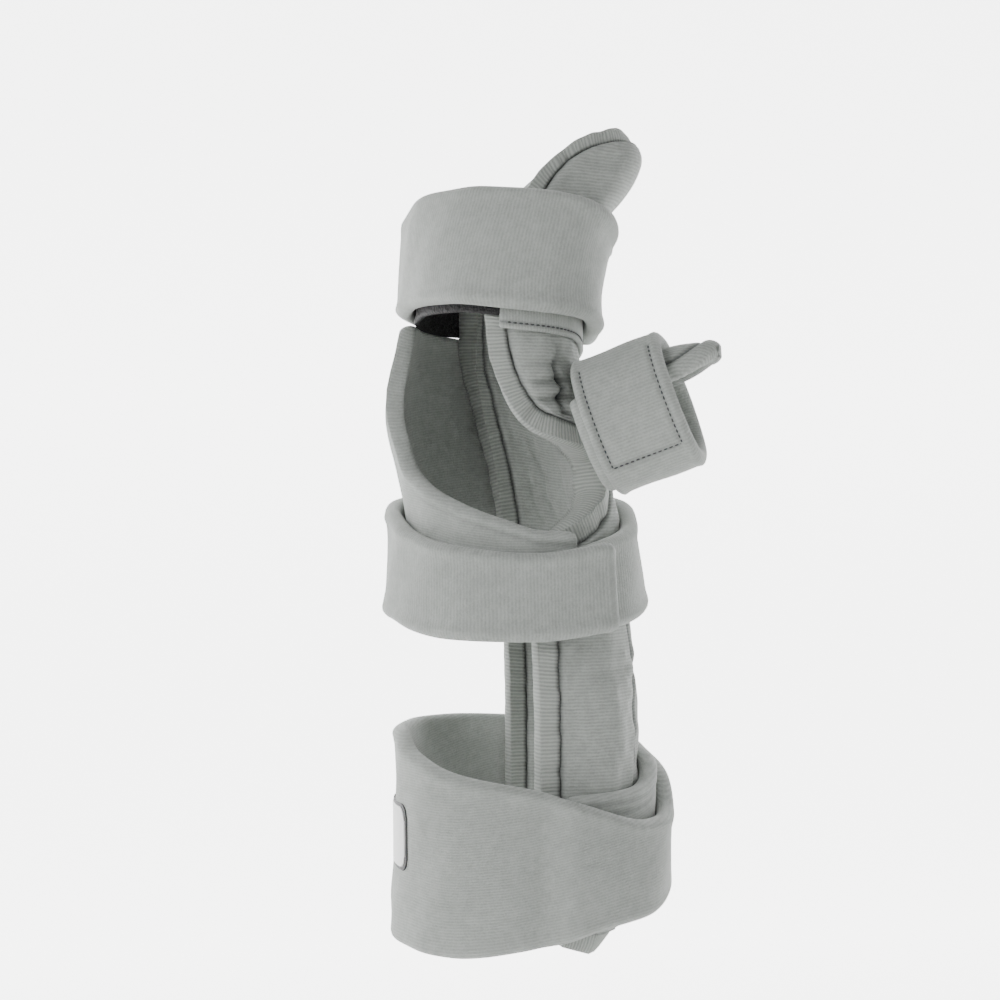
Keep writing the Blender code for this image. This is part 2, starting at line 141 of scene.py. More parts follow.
# The pan: a padded board in a cover of brushed grey fleece, bent to a trough for the forearm, the
# palm and the fingers. Its cover is quilted by a seam along the palm side of the forearm part, and
# it puckers at the web of the thumb, where the thumb's trough is sewn on.
FOREARM_REACH = 0.119
HAND_REACH = 0.162
DEPTH = 0.078
HALF_WIDTH = 0.040
PAD = 0.012
BINDING = 0.0078
BODY = (
    # height, back, middle, front, half
    (-1.00, -0.34, 0.13, 0.43, 0.87),
    (-0.95, -0.355, 0.13, 0.53, 0.95),
    (-0.88, -0.36, 0.13, 0.59, 0.985),
    (-0.75, -0.34, 0.13, 0.635, 1.00),
    (-0.38, -0.345, 0.13, 0.64, 1.00),
    (0.00, -0.305, 0.115, 0.60, 0.975),
    (0.12, -0.29, 0.11, 0.57, 0.96),
    (0.28, -0.335, 0.09, 0.52, 1.00),
    (0.40, -0.378, 0.065, 0.45, 1.04),
    (0.53, -0.335, 0.04, 0.36, 1.07),
    (0.62, -0.29, 0.04, 0.355, 1.06),
    (0.71, -0.285, 0.07, 0.385, 1.03),
    (0.77, -0.28, 0.105, 0.425, 1.00),
    (0.81, -0.255, 0.13, 0.51, 0.96),
    (0.85, -0.22, 0.155, 0.585, 0.92),
    (0.89, -0.18, 0.18, 0.635, 0.88),
    (0.93, -0.14, 0.205, 0.66, 0.83),
    (0.97, -0.10, 0.225, 0.640, 0.77),
    (1.00, -0.05, 0.24, 0.560, 0.68),
)
RIM = (
    # height, thumb side, little-finger side
    (-1.00, 0.06, 0.06),
    (-0.985, 0.145, 0.145),
    (-0.95, 0.213, 0.213),
    (-0.90, 0.240, 0.240),
    (-0.83, 0.250, 0.250),
    (-0.40, 0.250, 0.250),
    (0.05, 0.250, 0.250),
    (0.10, 0.245, 0.252),
    (0.15, 0.215, 0.255),
    (0.20, 0.155, 0.258),
    (0.25, 0.120, 0.262),
    (0.29, 0.120, 0.265),
    (0.315, 0.155, 0.268),
    (0.332, 0.205, 0.270),
    (0.35, 0.238, 0.272),
    (0.39, 0.265, 0.276),
    (0.44, 0.281, 0.281),
    (0.50, 0.294, 0.290),
    (0.60, 0.303, 0.298),
    (0.70, 0.303, 0.300),
    (0.80, 0.286, 0.286),
    (0.87, 0.268, 0.268),
    (0.92, 0.242, 0.242),
    (0.955, 0.212, 0.212),
    (0.985, 0.150, 0.150),
    (1.00, 0.050, 0.050),
)
SEAM_DIP = 0.0011         # how deep a seam pulls the cover in
ROWS = 191                # of the cover's mesh, from its lower end to its tip
ACROSS = 121              # places in a row
ROW_SKIP = 3              # the simulated cover has every third row
PLACE_SKIP = 4            # and every fourth place
SIMULATED_FRAMES = 20
MOST_PUFF = 0.0011        # how far the filling may push the cover


def curve(rows):
    """A function that reads a table at many places at once, curved through its rows."""
    rows = sorted(rows)
    keys = np.array([row[0] for row in rows], float)
    values = np.array([row[1:] for row in rows], float)
    step = np.diff(values, axis=0) / np.diff(keys)[:, None]
    slope = np.zeros_like(values)
    slope[0] = step[0]
    slope[-1] = step[-1]
    before = step[:-1]
    after = step[1:]
    total = np.where(before + after == 0, 1, before + after)
    slope[1:-1] = np.where(before * after > 0, 2 * before * after / total, 0)

    def read(at):
        at = np.clip(np.asarray(at, float), keys[0], keys[-1])
        i = np.clip(np.searchsorted(keys, at, side="right") - 1, 0, len(keys) - 2)
        span = (keys[i + 1] - keys[i])[..., None]
        share = (at - keys[i])[..., None] / span
        s2 = share * share
        s3 = s2 * share
        return (
            (2 * s3 - 3 * s2 + 1) * values[i]
            + (s3 - 2 * s2 + share) * span * slope[i]
            + (3 * s2 - 2 * s3) * values[i + 1]
            + (s3 - s2) * span * slope[i + 1]
        )

    return read


class Form:
    """A body that pieces lie on, read by turn, height and lift for whole arrays at once."""

    def __init__(self, origin, up, front, near, rows, low, high, square_front=2.5, square_back=2.1):
        self.low = low
        self.step = 0.0015
        self.heights = np.arange(low, high + self.step, self.step)
        self.turns = np.linspace(-0.5, 0.5, 289)
        back, middle, reach_front, half = curve(rows)(self.heights).T
        up, front, near = (np.array(axis, float) for axis in (up, front, near))
        angle = np.linspace(0.0, math.pi / 2, 121)
        points = np.zeros((len(self.heights), len(self.turns), 3))
        share = np.abs(self.turns) / 0.25
        side = np.sign(self.turns)
        for k, height in enumerate(self.heights):
            forward = np.zeros(len(self.turns))
            sideways = np.zeros(len(self.turns))
            for is_front, square in ((True, square_front), (False, square_back)):
                reach = reach_front[k] - middle[k] if is_front else middle[k] - back[k]
                across = half[k] * np.sin(angle) ** (2 / square)
                along = reach * np.abs(np.cos(angle)) ** (2 / square)
                length = np.concatenate([[0.0], np.cumsum(np.hypot(np.diff(across), np.diff(along)))])
                pick = share <= 1.0 if is_front else share > 1.0
                at = length[-1] * (share[pick] if is_front else 2.0 - share[pick])
                forward[pick] = middle[k] + np.interp(at, length, along) * (1 if is_front else -1)
                sideways[pick] = np.interp(at, length, across) * side[pick]
            points[k] = np.array(origin) + up * height + front * forward[:, None] + near * sideways[:, None]
        self.points = points
        # Normals are taken over a few millimetres, so that thick walls bend smoothly.
        reach_up = 3
        tall = np.pad(points, ((reach_up, reach_up), (0, 0), (0, 0)), mode="edge")
        upward = tall[2 * reach_up:] - tall[:-2 * reach_up]
        wide = np.concatenate([points[:, -5:-1], points, points[:, 1:5]], axis=1)
        around = wide[:, 8:] - wide[:, :-8]
        normals = np.cross(upward, around)
        if np.dot(np.cross(up, near), front) < 0:
            normals = -normals
        self.normals = normals / np.linalg.norm(normals, axis=2)[..., None]

    def at(self, turn, height, lift):
        turn = (np.asarray(turn, float) + 0.5) % 1.0
        row = np.clip((np.asarray(height, float) - self.low) / self.step, 0, len(self.heights) - 1.001)
        column = np.clip(turn * (len(self.turns) - 1), 0, len(self.turns) - 1.001)
        i = row.astype(int)
        j = column.astype(int)
        a = (row - i)[..., None]
        b = (column - j)[..., None]

        def mixed(field):
            lower = field[i, j] * (1 - b) + field[i, j + 1] * b
            upper = field[i + 1, j] * (1 - b) + field[i + 1, j + 1] * b
            return lower * (1 - a) + upper * a

        return mixed(self.points) + mixed(self.normals) * np.asarray(lift, float)[..., None]

    def girth(self, height):
        row = int(np.clip((height - self.low) / self.step, 0, len(self.heights) - 1))
        return float(np.linalg.norm(np.diff(self.points[row], axis=0), axis=1).sum())


def height_of(share):
    return share * (HAND_REACH if share > 0 else FOREARM_REACH)


body = Form(
    origin=(0.0, 0.0, 0.0),
    up=(0.0, 0.0, 1.0),
    front=(1.0, 0.0, 0.0),
    near=(0.0, -1.0, 0.0),
    rows=[
        (height_of(row[0]), row[1] * DEPTH, row[2] * DEPTH, row[3] * DEPTH, row[4] * HALF_WIDTH)
        for row in BODY
    ],
    low=-FOREARM_REACH,
    high=HAND_REACH,
)


def fleece(name, light, dark, rows="X", row_gap=0.0009, row_depth=0.22, sheen=0.25):
    """Brushed polyester fleece on a knitted back: a short nap over faint knitted rows, matt and a
    little lighter at grazing angles. Light and dark are its colours on the nap and between it."""
    material = bpy.data.materials.new(name)
    material.use_nodes = True
    tree = material.node_tree
    shader = tree.nodes["Principled BSDF"]
    shader.inputs["Specular IOR Level"].default_value = 0.12
    shader.inputs["Sheen Weight"].default_value = sheen
    shader.inputs["Sheen Roughness"].default_value = 0.5
    place = node(tree, "ShaderNodeTexCoord")
    # The nap's tufts are 0.6 mm across, and its clumps 3 mm.
    tufts = node(
        tree, "ShaderNodeTexNoise",
        {"Vector": place.outputs["Object"], "Scale": 1600.0, "Detail": 3.0, "Roughness": 0.7},
    )
    clumps = node(
        tree, "ShaderNodeTexNoise",
        {"Vector": place.outputs["Object"], "Scale": 330.0, "Detail": 3.0, "Roughness": 0.6},
    )
    cloudy = node(
        tree, "ShaderNodeTexNoise",
        {"Vector": place.outputs["Object"], "Scale": 30.0, "Detail": 2.0, "Roughness": 0.5},
    )
    # A wave repeats each 0.314 / scale of the map, which is in metres.
    knitted = node(
        tree, "ShaderNodeTexWave",
        {"Vector": place.outputs["UV"], "Scale": 0.31416 / row_gap, "Distortion": 1.6,
         "Detail": 2.0, "Detail Scale": 1.5},
        wave_type="BANDS", bands_direction=rows, wave_profile="SIN",
    )
    nap = node(
        tree, "ShaderNodeMix",
        {"Factor": row_depth, "A": tufts.outputs["Fac"], "B": knitted.outputs["Fac"]},
        data_type="FLOAT",
    )
    surface = node(
        tree, "ShaderNodeMix",
        {"Factor": 0.35, "A": nap.outputs["Result"], "B": clumps.outputs["Fac"]},
        data_type="FLOAT",
    )
    shade = node(
        tree, "ShaderNodeMapRange",
        {"Value": surface.outputs["Result"], "From Min": 0.36, "From Max": 0.64},
    )
    fibres = node(
        tree, "ShaderNodeMix",
        {"Factor": shade.outputs["Result"], "A": linear(dark), "B": linear(light)},
        data_type="RGBA",
    )
    patchy = node(
        tree, "ShaderNodeMapRange",
        {"Value": cloudy.outputs["Fac"], "From Min": 0.3, "From Max": 0.7, "To Min": 0.95, "To Max": 1.03},
    )
    tinted = node(
        tree, "ShaderNodeMix",
        {"Factor": 1.0, "A": fibres.outputs["Result"], "B": patchy.outputs["Result"]},
        data_type="RGBA", blend_type="MULTIPLY",
    )
    # Seams and hems lie in shade: the crease attribute darkens them.
    crease = node(tree, "ShaderNodeAttribute", attribute_name="crease")
    deep = node(
        tree, "ShaderNodeMix",
        {"Factor": crease.outputs["Fac"], "A": tinted.outputs["Result"], "B": linear("#393C3D")},
        data_type="RGBA",
    )
    tree.links.new(deep.outputs["Result"], shader.inputs["Base Color"])
    rough = node(
        tree, "ShaderNodeMapRange",
        {"Value": surface.outputs["Result"], "From Min": 0.3, "From Max": 0.7, "To Min": 1.0, "To Max": 0.9},
    )
    tree.links.new(rough.outputs["Result"], shader.inputs["Roughness"])
    bump = node(
        tree, "ShaderNodeBump",
        {"Height": surface.outputs["Result"], "Strength": 0.55, "Distance": 0.0005},
    )
    tree.links.new(bump.outputs["Normal"], shader.inputs["Normal"])
    return material


band_fleece = fleece("brushed grey fleece", "#B2B6B2", "#999D99")
cover_fleece = fleece("grey cover fleece", "#AEB2AE", "#939793", rows="Y", row_gap=0.0011, row_depth=0.3)


def new_mesh(name, points, faces, material, uv=None, crease=None):
    """An object of one mesh with its material, its metre-scale UV map and its crease attribute."""
    mesh = bpy.data.meshes.new(name)
    mesh.from_pydata([tuple(p) for p in points], [], faces)
    if uv is not None:
        layer = mesh.uv_layers.new(name="metres")
        for loop in mesh.loops:
            layer.data[loop.index].uv = uv[loop.vertex_index]
    if crease is not None:
        attribute = mesh.attributes.new("crease", "FLOAT", "POINT")
        attribute.data.foreach_set("value", np.clip(np.asarray(crease, float), 0, 1))
    tidy = bmesh.new()
    tidy.from_mesh(mesh)
    bmesh.ops.recalc_face_normals(tidy, faces=tidy.faces)
    tidy.to_mesh(mesh)
    tidy.free()
    mesh.shade_smooth()
    mesh.materials.append(material)
    piece = bpy.data.objects.new(name, mesh)
    bpy.context.scene.collection.objects.link(piece)
    return piece


def loft(rings, closed):
    """Points and faces through rings of equally many points, its open ends closed by strips."""
    count = rings.shape[1]
    faces = []
    last = len(rings) if closed else len(rings) - 1
    for k in range(last):
        first = k * count
        second = (k + 1) % len(rings) * count
        for j in range(count):
            after = (j + 1) % count
            faces.append((first + j, first + after, second + after, second + j))
    if not closed:
        for start, flip in ((0, False), ((len(rings) - 1) * count, True)):
            for j in range(count // 2 - 1):
                face = (start + j, start + j + 1, start + count - 2 - j, start + count - 1 - j)
                faces.append(face[::-1] if flip else face)
    return rings.reshape(-1, 3), faces


def bell(value, width):
    return np.exp(-(np.asarray(value, float) / width) ** 2)


def strip_width(height):
    """How wide the binding lies over the cover: narrower round the fingertips."""
    return BINDING * (1.0 - 0.40 * np.clip((height / HAND_REACH - 0.83) / 0.10, 0, 1))


def rim_loop(share, fine):
    """The pan's outline moved inwards by a share of the binding, as turns and heights: up the thumb
    side, over the tip, down the little-finger side and along the lower end."""
    reader = curve(RIM)
    shares = np.concatenate([
        np.linspace(-1.0, -0.83, 3 * fine),
        np.linspace(-0.83, 0.05, 12 * fine)[1:],
        np.linspace(0.05, 0.45, 14 * fine)[1:],
        np.linspace(0.45, 0.90, 8 * fine)[1:],
        np.linspace(0.90, 1.0, 5 * fine)[1:],
    ])
    heights = np.array([height_of(share) for share in shares])
    sides = reader(shares)
    tip = np.linspace(sides[-1, 0], -sides[-1, 1], 4 * fine)[1:-1]
    end = np.linspace(-sides[0, 1], sides[0, 0], 5 * fine)[1:-1]
    turns = np.concatenate([sides[:, 0], tip, -sides[::-1, 1], end])
    over_tip = np.full(len(tip), HAND_REACH)
    along_end = np.full(len(end), -FOREARM_REACH)
    tall = np.concatenate([heights, over_tip, heights[::-1], along_end])
    girths = np.array([body.girth(height) for height in tall])
    flat = np.stack([turns * girths, tall], axis=1)
    arriving = flat - np.roll(flat, 1, axis=0)
    leaving = np.roll(flat, -1, axis=0) - flat
    arriving /= np.linalg.norm(arriving, axis=1)[:, None]
    leaving /= np.linalg.norm(leaving, axis=1)[:, None]
    along = arriving + leaving
    along /= np.linalg.norm(along, axis=1)[:, None]
    count = len(heights)
    inset = share * strip_width(tall)
    moved = np.stack([turns - along[:, 1] * inset / girths, tall + along[:, 0] * inset], axis=1)
    return moved, count, len(tip)


moved, count, tip_count = rim_loop(1.03, 3)
thumb_side = moved[:count]
little_side = moved[count + tip_count:2 * count + tip_count]
low = max(thumb_side[:, 1].min(), little_side[:, 1].min())
high = min(thumb_side[:, 1].max(), little_side[:, 1].max())
pan_heights = np.linspace(low, high, ROWS + 1)[:-1]


def side_at(heights, side):
    """The rim's turn at each height, read from the moved outline put in order of height."""
    order = np.argsort(side[:, 1])
    return np.interp(heights, side[order, 1], side[order, 0])


near_turn = side_at(pan_heights, thumb_side)[:, None]
far_turn = side_at(pan_heights, little_side)[:, None]
share = np.linspace(0.0, 1.0, ACROSS)[None, :]
pan_turn = far_turn + (near_turn - far_turn) * share
pan_height = np.repeat(pan_heights[:, None], ACROSS, axis=1)
pan_girth = np.array([body.girth(height) for height in pan_heights])[:, None]
from_side = np.minimum(share, 1 - share) * (near_turn - far_turn) * pan_girth
nearest = np.minimum(from_side, np.minimum(pan_height - low, high - pan_height))
edge_round = np.clip(1 - nearest / 0.0030, 0, 1)
rounding = -0.0022 * (1 - np.sqrt(1 - edge_round ** 2))

# The forearm part is quilted: a seam near the palm side, and a ridge where the cover turns over
# the board's corner. Both end under the wrist strap.
on_forearm = np.clip((0.012 - pan_height) / 0.010, 0, 1)
seam_turn = np.interp(pan_height, (-0.080, -0.054, -0.037, -0.021, 0.0), (0.094, 0.090, 0.076, 0.082, 0.090))
seam = bell((pan_turn - seam_turn) * pan_girth, 0.0011) * on_forearm
ridge_turn = np.interp(pan_height, (-0.080, -0.061, -0.042, -0.007), (0.162, 0.158, 0.146, 0.153))
ridge_place = (pan_turn - ridge_turn) * pan_girth / 0.0050
ridge = 0.0024 * np.exp(0.5 - np.sqrt(ridge_place ** 2 + 0.25)) * on_forearm

# At the web the cover is gathered: folds run into the pinch where the thumb's trough starts; the pinch and
# the folds' valleys get painted shade.
gathered = np.clip((0.245 - pan_turn) / 0.030, 0, 1) * np.clip((pan_turn - 0.160) / 0.020, 0, 1)
gathered = gathered * bell(pan_height - 0.0700, 0.0090)
fold_place = (pan_height + 0.10 * (pan_turn - 0.186) * pan_girth - 0.0712) * 2 * math.pi / 0.0056
folds = 0.0015 * np.cos(fold_place) * gathered
valleys = np.clip(-np.cos(fold_place), 0, 1) ** 3 * gathered
pinch_wave = 0.0010 * np.sin((pan_height - 0.064) * 2 * math.pi / 0.011)
pinch = bell((pan_turn - 0.187) * pan_girth - pinch_wave, 0.0011) * bell(pan_height - 0.0715, 0.0105)
slack = 0.0003 * np.sin(pan_height * 190 + pan_turn * 19) * np.sin(pan_turn * 34 + 1.7)

base_outer = body.at(pan_turn, pan_height, rounding)
base_inner = body.at(pan_turn, pan_height, -PAD - rounding)


def stretched_weights(fine, coarse):
    """A matrix that reads a coarse row of values at more places, curved through its own."""
    places = np.linspace(0, coarse - 1, fine)
    first = np.clip(places.astype(int), 0, coarse - 2)
    t = places - first
    weights = np.zeros((fine, coarse))
    parts = (
        (-1, -0.5 * t + t ** 2 - 0.5 * t ** 3),
        (0, 1 - 2.5 * t ** 2 + 1.5 * t ** 3),
        (1, 0.5 * t + 2 * t ** 2 - 1.5 * t ** 3),
        (2, -0.5 * t ** 2 + 0.5 * t ** 3),
    )
    for step, part in parts:
        np.add.at(weights, (np.arange(fine), np.clip(first + step, 0, coarse - 1)), part)
    return weights


def puffed(outer, inner, held, most):
    """How far a padded cover moves when its filling presses on it: cloth under pressure, sewn down
    where held says so. It is run on some rows and places of the cover and then read in between."""
    picked = np.ix_(range(0, outer.shape[0], ROW_SKIP), range(0, outer.shape[1], PLACE_SKIP))
    rough_rings = np.concatenate([outer[picked], inner[picked][:, ::-1]], axis=1)
    rough_points, rough_faces = loft(rough_rings, closed=False)
    mesh = bpy.data.meshes.new("cover_to_puff")
    mesh.from_pydata([tuple(p) for p in rough_points], [], rough_faces)
    tidy = bmesh.new()
    tidy.from_mesh(mesh)
    bmesh.ops.recalc_face_normals(tidy, faces=tidy.faces)
    tidy.to_mesh(mesh)
    tidy.free()
    cover = bpy.data.objects.new("cover_to_puff", mesh)
    bpy.context.scene.collection.objects.link(cover)
    sewn = np.concatenate([held[picked], held[picked][:, ::-1]], axis=1).reshape(-1)
    group = cover.vertex_groups.new(name="sewn")
    group.add([int(k) for k in np.flatnonzero(sewn)], 1.0, "REPLACE")
    cloth = cover.modifiers.new("cloth", "CLOTH")
    cloth.settings.quality = 6
    cloth.settings.mass = 0.25
    cloth.settings.tension_stiffness = 12.0
    cloth.settings.compression_stiffness = 12.0
    cloth.settings.shear_stiffness = 5.0
    cloth.settings.bending_stiffness = 0.3
    cloth.settings.shrink_min = -0.012
    cloth.settings.vertex_group_mass = "sewn"
    cloth.settings.use_pressure = True
    cloth.settings.uniform_pressure_force = 4.0
    cloth.settings.effector_weights.gravity = 0.0
    cloth.collision_settings.use_collision = False
    scene = bpy.context.scene
    for frame_number in range(1, SIMULATED_FRAMES + 1):
        scene.frame_set(frame_number)
    depsgraph = bpy.context.evaluated_depsgraph_get()
    moved_mesh = cover.evaluated_get(depsgraph).to_mesh()
    places = np.empty(len(moved_mesh.vertices) * 3)
    moved_mesh.vertices.foreach_get("co", places)
    shift = places.reshape(-1, 3) - rough_points
    reach = np.linalg.norm(shift, axis=1)
    shift *= (most * np.tanh(reach / most) / np.maximum(reach, 1e-9))[:, None]
    print("cover puffed by at most", round(float(reach.max()) * 1000, 2), "mm, kept under", most * 1000)
    cover.evaluated_get(depsgraph).to_mesh_clear()
    bpy.data.objects.remove(cover, do_unlink=True)
    scene.frame_set(1)
    shift = shift.reshape(rough_rings.shape)
    half = shift.shape[1] // 2
    up = stretched_weights(outer.shape[0], shift.shape[0])
    side = stretched_weights(outer.shape[1], half)
    return (
        np.einsum("ik,kjc,lj->ilc", up, shift[:, :half], side),
        np.einsum("ik,kjc,lj->ilc", up, shift[:, half:][:, ::-1], side),
    )


under_forearm_band = pan_height < -0.062
under_wrist_band = np.abs(pan_height - 0.006) < 0.022
under_finger_band = np.abs(pan_height - 0.113) < 0.020
under_strap = under_forearm_band | under_wrist_band | under_finger_band
held = (nearest < 0.0030) | under_strap | ((seam > 0.2) & (pan_height < 0.0))
outer_shift, inner_shift = puffed(base_outer, base_inner, held, MOST_PUFF)

lift = ridge + folds + slack - SEAM_DIP * seam - 0.0032 * pinch
outer = body.at(pan_turn, pan_height, rounding + lift) + outer_shift
inner = base_inner + inner_shift
# Painted shade, through the crease attribute: the seam, the pinch, the folds' valleys and the cover's edge by
# the binding are darkened, outside and in.
hem = bell(nearest, 0.0008)
dark_outer = np.clip(0.75 * seam + 0.9 * pinch + 0.45 * valleys + 0.6 * hem, 0, 1)
dark_inner = 0.6 * hem
flat_map = np.stack([pan_turn * pan_girth, pan_height], axis=2)
points, faces = loft(np.concatenate([outer, inner[:, ::-1]], axis=1), closed=False)
pan = new_mesh(
    "pan_cover", points, faces, cover_fleece,
    np.concatenate([flat_map, flat_map[:, ::-1]], axis=1).reshape(-1, 2),
    np.concatenate([dark_outer, dark_inner[:, ::-1]], axis=1).reshape(-1),
)
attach(pan, "root")
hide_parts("pan")

# The binding: a strip of ribbed knit folded over the board's whole rim and sewn down through the
# cover. Its ribs run across the strip, and it swells a little between its stitches.
RIB_GAP = 0.00125         # from one rib of the binding to the next


def ribbed(name, light, dark):
    """Ribbed acrylic knit: ribs across the strip, each a soft round cord with fibres on it."""
    material = bpy.data.materials.new(name)
    material.use_nodes = True
    tree = material.node_tree
    shader = tree.nodes["Principled BSDF"]
    shader.inputs["Roughness"].default_value = 1.0
    shader.inputs["Specular IOR Level"].default_value = 0.15
    shader.inputs["Sheen Weight"].default_value = 0.2
    shader.inputs["Sheen Roughness"].default_value = 0.55
    place = node(tree, "ShaderNodeTexCoord")
    ribs = node(
        tree, "ShaderNodeTexWave",
        {"Vector": place.outputs["UV"], "Scale": 0.31416 / RIB_GAP, "Distortion": 0.9, "Detail": 2.0,
         "Detail Scale": 1.5},
        wave_type="BANDS", bands_direction="X", wave_profile="SIN",
    )
    tufts = node(
        tree, "ShaderNodeTexNoise",
        {"Vector": place.outputs["Object"], "Scale": 1400.0, "Detail": 3.0, "Roughness": 0.65},
    )
    knitted = node(
        tree, "ShaderNodeMix",
        {"Factor": 0.45, "A": ribs.outputs["Fac"], "B": tufts.outputs["Fac"]},
        data_type="FLOAT",
    )
    shade = node(
        tree, "ShaderNodeMapRange",
        {"Value": knitted.outputs["Result"], "From Min": 0.25, "From Max": 0.75},
    )
    colour = node(
        tree, "ShaderNodeMix",
        {"Factor": shade.outputs["Result"], "A": linear(dark), "B": linear(light)},
        data_type="RGBA",
    )
    # Painted shade: the crease attribute darkens the knit where it is sewn down.
    crease = node(tree, "ShaderNodeAttribute", attribute_name="crease")
    deep = node(
        tree, "ShaderNodeMix",
        {"Factor": crease.outputs["Fac"], "A": colour.outputs["Result"], "B": linear("#393C3D")},
        data_type="RGBA",
    )
    tree.links.new(deep.outputs["Result"], shader.inputs["Base Color"])
    bump = node(
        tree, "ShaderNodeBump",
        {"Height": knitted.outputs["Result"], "Strength": 0.5, "Distance": 0.0005},
    )
    tree.links.new(bump.outputs["Normal"], shader.inputs["Normal"])
    return material


ribbed_knit = ribbed("ribbed grey knit", "#B2B6B1", "#979B97")

outline, count, tip_count = rim_loop(0.0, 6)
inside, count, tip_count = rim_loop(1.0, 6)
girths = np.array([body.girth(height) for height in outline[:, 1]])
legs = np.diff(np.vstack([outline, outline[:1]]), axis=0)
steps = np.hypot(legs[:, 0] * girths, legs[:, 1])
travelled = np.concatenate([[0.0], np.cumsum(steps)[:-1]])
# The strip's section: out along the cover, round the rim and back along the inside.
section = [(1.0 - 0.94 * math.sin(a), 0.0 - 0.0016 * (1 - math.sin(a))) for a in np.linspace(0.0, 1.2, 7)]
section += [
    (0.42 - 0.42 * math.sin(a), -PAD / 2 + (PAD / 2) * math.cos(a))
    for a in np.linspace(0.45, math.pi - 0.45, 11)
]
section += [(1.0 - 0.94 * math.sin(a), -PAD + 0.0016 * (1 - math.sin(a))) for a in np.linspace(1.2, 0.0, 7)]
rings = np.zeros((len(outline), len(section), 3))
maps = np.zeros((len(outline), len(section), 2))
creases = np.zeros((len(outline), len(section)))
plump = 0.00035 * np.sin(travelled * 2 * math.pi / 0.0165)
plump = plump + 0.0003 * np.sin(travelled * 2 * math.pi / 0.0071 + 2)
for j, (share, lift) in enumerate(section):
    turn = outline[:, 0] + (inside[:, 0] - outline[:, 0]) * share
    height = outline[:, 1] + (inside[:, 1] - outline[:, 1]) * share
    swell = plump * (1.0 if lift > -PAD / 2 else -1.0)
    rings[:, j] = body.at(turn, height, lift + swell)
    maps[:, j, 0] = travelled
    maps[:, j, 1] = share * BINDING
    # Painted shade: the strip's edge where it is sewn down on the cover is darkened.
    creases[:, j] = 0.6 * (share > 0.97)
points, faces = loft(rings, closed=True)
binding = new_mesh("knit_binding", points, faces, ribbed_knit, maps.reshape(-1, 2), creases.reshape(-1))
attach(binding, "root")
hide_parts("pan_binding")

# The straps: brushed fleece laminated to foam, cut to bands with soft rounded edges and wound
# round the hand, the wrist and the forearm. A line of machine stitches holds each hem.
STRAP = 0.0055
UNDERLAY = 0.0020
GAP = 0.0005
FINGER_STRAP_WIDTH = 0.040
WRIST_STRAP_WIDTH = 0.032
FOREARM_STRAP_WIDTH = 0.060
FINGER_ROUTE = (
    # turn, middle as a share of HAND_REACH, width as a share of FINGER_STRAP_WIDTH
    (0.00, 0.662, 0.97),
    (0.06, 0.670, 0.95),
    (0.15, 0.696, 0.97),
    (0.25, 0.706, 0.95),
    (0.34, 0.716, 0.92),
    (0.44, 0.714, 0.88),
    (0.50, 0.700, 0.82),
    (0.60, 0.705, 0.90),
    (0.75, 0.705, 0.95),
    (0.90, 0.675, 0.97),
    (1.00, 0.662, 0.97),
)
WRIST_ROUTE = (
    # turn, middle and width as shares of WRIST_STRAP_WIDTH, layers under it
    (0.17, 0.18, 0.92, 1),
    (0.25, 0.09, 0.90, 1),
    (0.36, 0.15, 1.00, 1),
    (0.46, 0.34, 1.12, 1),
    (0.50, 0.41, 1.18, 1),
    (0.60, 0.60, 1.10, 1),
    (0.75, 0.75, 1.00, 1),
    (0.86, 0.70, 1.00, 1),
    (0.91, 0.64, 1.00, 0),
    (1.00, 0.53, 1.00, 0),
    (1.10, 0.30, 0.96, 0),
    (1.185, 0.16, 0.90, 0),
)
FOREARM_ROUTE = (
    # turn, middle as a share of FOREARM_REACH, width as a share of FOREARM_STRAP_WIDTH, layers
    (0.208, -0.697, 0.70, 0),
    (0.10, -0.672, 0.66, 0),
    (0.00, -0.613, 0.71, 0),
    (-0.12, -0.605, 0.85, 0),
    (-0.25, -0.620, 1.00, 0),
    (-0.40, -0.650, 1.15, 0),
    (-0.50, -0.665, 1.18, 0),
    (-0.57, -0.690, 1.08, 0),
    (-0.66, -0.715, 0.97, 0),
    (-0.75, -0.715, 0.84, 0),
    (-0.79, -0.712, 0.72, 1),
    (-0.87, -0.722, 0.51, 1),
    (-0.94, -0.700, 0.47, 1),
    (-1.00, -0.645, 0.56, 1),
    (-1.06, -0.620, 0.66, 1),
)
HAND_ROUTE = (
    # turn, lower edge and upper edge as shares of HAND_REACH
    (0.205, -0.02, 0.150),
    (0.24, -0.03, 0.153),
    (0.28, -0.03, 0.172),
    (0.34, -0.02, 0.205),
    (0.40, 0.00, 0.245),
    (0.45, 0.01, 0.290),
    (0.475, 0.02, 0.345),
    (0.49, 0.03, 0.420),
    (0.505, 0.04, 0.520),
    (0.53, 0.05, 0.578),
    (0.58, 0.07, 0.586),
    (0.75, 0.10, 0.570),
    (0.84, 0.11, 0.530),
)


